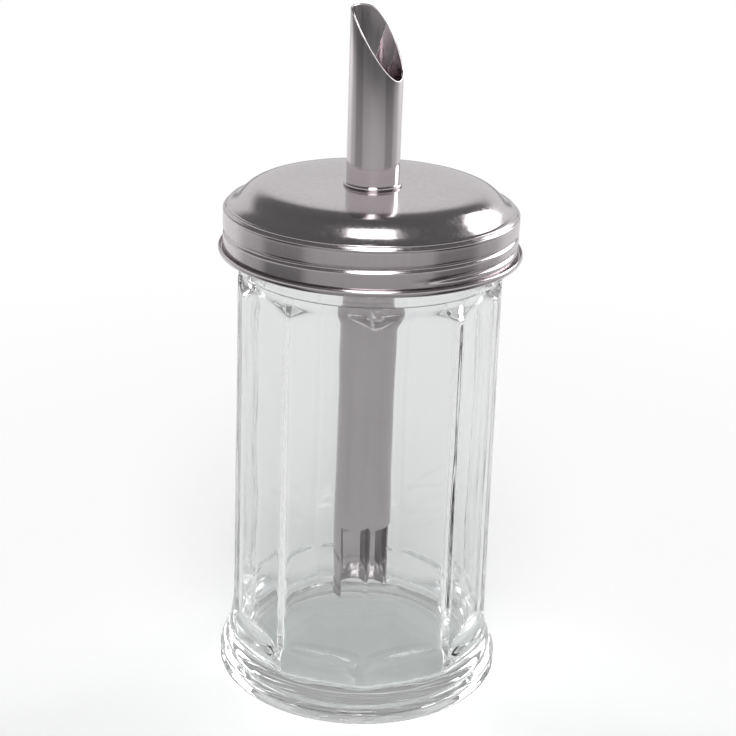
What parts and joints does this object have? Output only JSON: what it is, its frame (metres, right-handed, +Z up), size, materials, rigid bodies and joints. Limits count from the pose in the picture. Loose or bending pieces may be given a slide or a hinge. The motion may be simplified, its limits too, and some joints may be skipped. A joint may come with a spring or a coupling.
{
  "type": "sugar pourer",
  "caption": "Sugar pourer: clear panelled glass jar on a flared foot, stainless screw lid with a rolled edge, and a dosing tube with a slanted mouth",
  "frame": {"origin": "centre of the foot's bearing ring, on the surface the pourer stands on", "axes": "+Z up along the jar's axis, -Y towards the viewer of the picture, +X to the viewer's right"},
  "size_m": [0.076, 0.076, 0.1748],
  "materials": {
    "clear_glass": "clear, fire-polished",
    "satin_steel": "satin stainless sheet, lightly polished",
    "liner_plastic": "translucent white, matt"
  },
  "bodies": {
    "jar": {"glass_jar": "clear_glass"},
    "liner": {"liner_ring": "liner_plastic"},
    "lid": {"lid_shell": "satin_steel", "dosing_tube": "satin_steel", "top_collar": "satin_steel", "clamp_ring": "satin_steel"}
  },
  "joints": [
    {"name": "lid_lift", "type": "slide", "parent": "jar", "child": "liner", "axis": [0, 0, 1], "range_m": [0, 0.00398]},
    {"name": "lid_turn", "type": "hinge", "parent": "liner", "child": "lid", "pos_m": [0, 0, 0.12], "axis": [0, 0, 1], "range_deg": [0, 445]}
  ],
  "couplings": [
    {"joint": "lid_lift", "follows": "lid_turn", "m_per_rad": 0.0005093}
  ]
}
